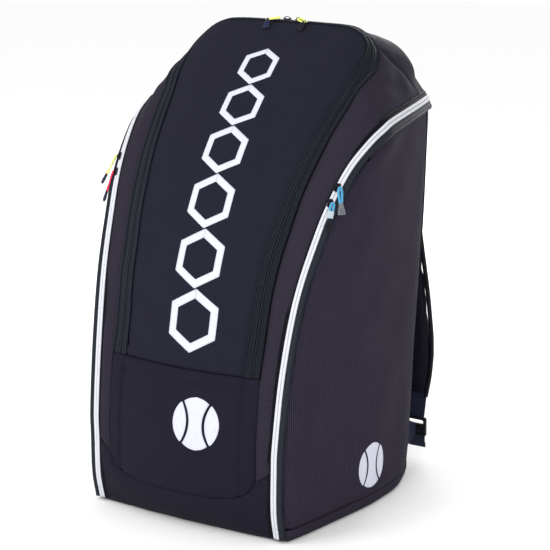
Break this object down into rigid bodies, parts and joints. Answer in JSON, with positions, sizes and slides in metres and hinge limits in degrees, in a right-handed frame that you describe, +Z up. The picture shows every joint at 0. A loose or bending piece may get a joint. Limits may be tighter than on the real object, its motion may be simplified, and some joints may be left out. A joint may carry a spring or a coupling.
{
  "type": "racket backpack",
  "caption": "Black racket backpack with a curved front flap on a long zipper, light side zippers and a racket compartment at each side.",
  "frame": {"origin": "middle of the base, on the surface that the bag stands on, halfway between its sides", "axes": "+Z up, -Y out of the front flap, +X to the right seen from the front"},
  "size_m": [0.3678, 0.4109, 0.5889],
  "materials": {
    "main_fabric": "matt woven",
    "side_fabric": "ribbed, coated",
    "zipper_tape": "woven tape",
    "side_zipper": "satin",
    "webbing": "woven webbing",
    "padding_mesh": "air mesh",
    "lining": "smooth lining",
    "stiffener": "matt",
    "moulded_plastic": "satin",
    "slider_metal": "gun metal",
    "cord_yellow": "braided cord",
    "cord_red": "braided cord",
    "cord_blue": "braided cord"
  },
  "bodies": {
    "bag": {"base_panel": "main_fabric", "base_stiffener": "stiffener", "back_panel": "main_fabric", "back_pad_left": "padding_mesh", "back_pad_right": "padding_mesh", "lumbar_pad": "padding_mesh", "strap_yoke": "padding_mesh", "front_lower_panel": "main_fabric", "front_bottom_panel": "main_fabric", "front_border_left": "main_fabric", "front_border_right": "main_fabric", "shoulder_gusset_left": "main_fabric", "shoulder_gusset_right": "main_fabric", "top_panel": "main_fabric", "partition_left": "lining", "partition_right": "lining", "main_zipper_outer_tape": "zipper_tape", "left_zip_bag_tape": "side_zipper", "right_zip_bag_tape": "side_zipper", "left_strap_wing": "webbing", "right_strap_wing": "webbing"},
    "flap": {"front_flap": "main_fabric", "front_flap_lining": "lining", "main_zipper_flap_tape": "zipper_tape"},
    "handle": {"handle_webbing": "webbing", "handle_sleeve": "webbing"},
    "left_door": {"left_side_panel": "side_fabric", "left_zip_door_tape": "side_zipper", "left_side_lining": "lining"},
    "left_strap": {"left_strap_pad": "padding_mesh", "left_strap_webbing": "webbing", "left_ladder_lock": "moulded_plastic"},
    "left_tail": {"left_webbing_tail": "webbing"},
    "top_slider_left": {"top_slider_left": "slider_metal"},
    "top_pull_left": {"top_pull_left_cord": "cord_yellow", "top_pull_left_end": "moulded_plastic"},
    "right_door": {"right_side_panel": "side_fabric", "right_zip_door_tape": "side_zipper", "right_side_lining": "lining"},
    "right_strap": {"right_strap_pad": "padding_mesh", "right_strap_webbing": "webbing", "right_ladder_lock": "moulded_plastic"},
    "right_tail": {"right_webbing_tail": "webbing"},
    "top_slider_right": {"top_slider_right": "slider_metal"},
    "top_pull_right": {"top_pull_right_cord": "cord_yellow", "top_pull_right_end": "moulded_plastic"},
    "left_slider_lower": {"left_slider_lower": "slider_metal"},
    "left_pull_lower": {"left_pull_lower_cord": "cord_red", "left_pull_lower_end": "moulded_plastic"},
    "left_slider_upper": {"left_slider_upper": "slider_metal"},
    "left_pull_upper": {"left_pull_upper_cord": "cord_yellow", "left_pull_upper_end": "moulded_plastic"},
    "right_slider_lower": {"right_slider_lower": "slider_metal"},
    "right_pull_lower": {"right_pull_lower_cord": "cord_blue", "right_pull_lower_end": "moulded_plastic"},
    "right_slider_upper": {"right_slider_upper": "slider_metal"},
    "right_pull_upper": {"right_pull_upper_cord": "cord_blue", "right_pull_upper_end": "moulded_plastic"}
  },
  "joints": [
    {"name": "flap_open", "type": "hinge", "parent": "bag", "child": "flap", "pos_m": [0, -0.1675, 0.195], "axis": [1, 0, 0], "range_deg": [0, 110]},
    {"name": "handle_lift", "type": "hinge", "parent": "bag", "child": "handle", "pos_m": [0, 0.1781, 0.547], "axis": [1, 0, 0], "range_deg": [0, 150]},
    {"name": "left_door_open", "type": "hinge", "parent": "bag", "child": "left_door", "pos_m": [-0.116, 0.165, 0], "axis": [-0.0579, 0, 0.9983], "range_deg": [-30, 0]},
    {"name": "left_strap_swing", "type": "hinge", "parent": "bag", "child": "left_strap", "pos_m": [-0.099, 0.212, 0.044], "axis": [0.0788, -0.0601, 0.9951], "range_deg": [-14, 10]},
    {"name": "left_tail_swing", "type": "hinge", "parent": "left_strap", "child": "left_tail", "pos_m": [-0.099, 0.2156, 0.0455], "axis": [1, 0, 0], "range_deg": [0, 70]},
    {"name": "top_slider_left_slide", "type": "slide", "parent": "flap", "child": "top_slider_left", "axis": [-1, 0, 0], "range_m": [0, 0.06]},
    {"name": "top_pull_left_lift", "type": "hinge", "parent": "top_slider_left", "child": "top_pull_left", "pos_m": [-0.014, 0.062, 0.5874], "axis": [-1, 0, 0], "range_deg": [0, 110]},
    {"name": "right_door_open", "type": "hinge", "parent": "bag", "child": "right_door", "pos_m": [0.116, 0.165, 0], "axis": [0.0579, 0, 0.9983], "range_deg": [0, 30]},
    {"name": "right_strap_swing", "type": "hinge", "parent": "bag", "child": "right_strap", "pos_m": [0.099, 0.212, 0.044], "axis": [-0.0788, -0.0601, 0.9951], "range_deg": [-10, 14]},
    {"name": "right_tail_swing", "type": "hinge", "parent": "right_strap", "child": "right_tail", "pos_m": [0.099, 0.2156, 0.0455], "axis": [1, 0, 0], "range_deg": [0, 70]},
    {"name": "top_slider_right_slide", "type": "slide", "parent": "flap", "child": "top_slider_right", "axis": [1, 0, 0], "range_m": [0, 0.06]},
    {"name": "top_pull_right_lift", "type": "hinge", "parent": "top_slider_right", "child": "top_pull_right", "pos_m": [0.014, 0.062, 0.5874], "axis": [-1, 0, 0], "range_deg": [0, 110]},
    {"name": "left_slider_lower_slide", "type": "slide", "parent": "left_door", "child": "left_slider_lower", "axis": [0.16, -0.5101, -0.8451], "range_m": [0, 0.03]},
    {"name": "left_pull_lower_lift", "type": "hinge", "parent": "left_slider_lower", "child": "left_pull_lower", "pos_m": [-0.16613, -0.08099, 0.40086], "axis": [-0.6, 0.8, 0], "range_deg": [0, 120]},
    {"name": "left_slider_upper_slide", "type": "slide", "parent": "left_door", "child": "left_slider_upper", "axis": [-0.16, 0.5101, 0.8451], "range_m": [0, 0.03]},
    {"name": "left_pull_upper_lift", "type": "hinge", "parent": "left_slider_upper", "child": "left_pull_upper", "pos_m": [-0.16932, -0.07051, 0.41886], "axis": [-0.6, 0.8, 0], "range_deg": [0, 120]},
    {"name": "right_slider_lower_slide", "type": "slide", "parent": "right_door", "child": "right_slider_lower", "axis": [-0.16, -0.5101, -0.8451], "range_m": [0, 0.03]},
    {"name": "right_pull_lower_lift", "type": "hinge", "parent": "right_slider_lower", "child": "right_pull_lower", "pos_m": [0.16737, -0.07692, 0.40786], "axis": [-0.6, -0.8, 0], "range_deg": [0, 120]},
    {"name": "right_slider_upper_slide", "type": "slide", "parent": "right_door", "child": "right_slider_upper", "axis": [0.16, 0.5101, 0.8451], "range_m": [0, 0.03]},
    {"name": "right_pull_upper_lift", "type": "hinge", "parent": "right_slider_upper", "child": "right_pull_upper", "pos_m": [0.17092, -0.06527, 0.42786], "axis": [-0.6, -0.8, 0], "range_deg": [0, 120]}
  ]
}
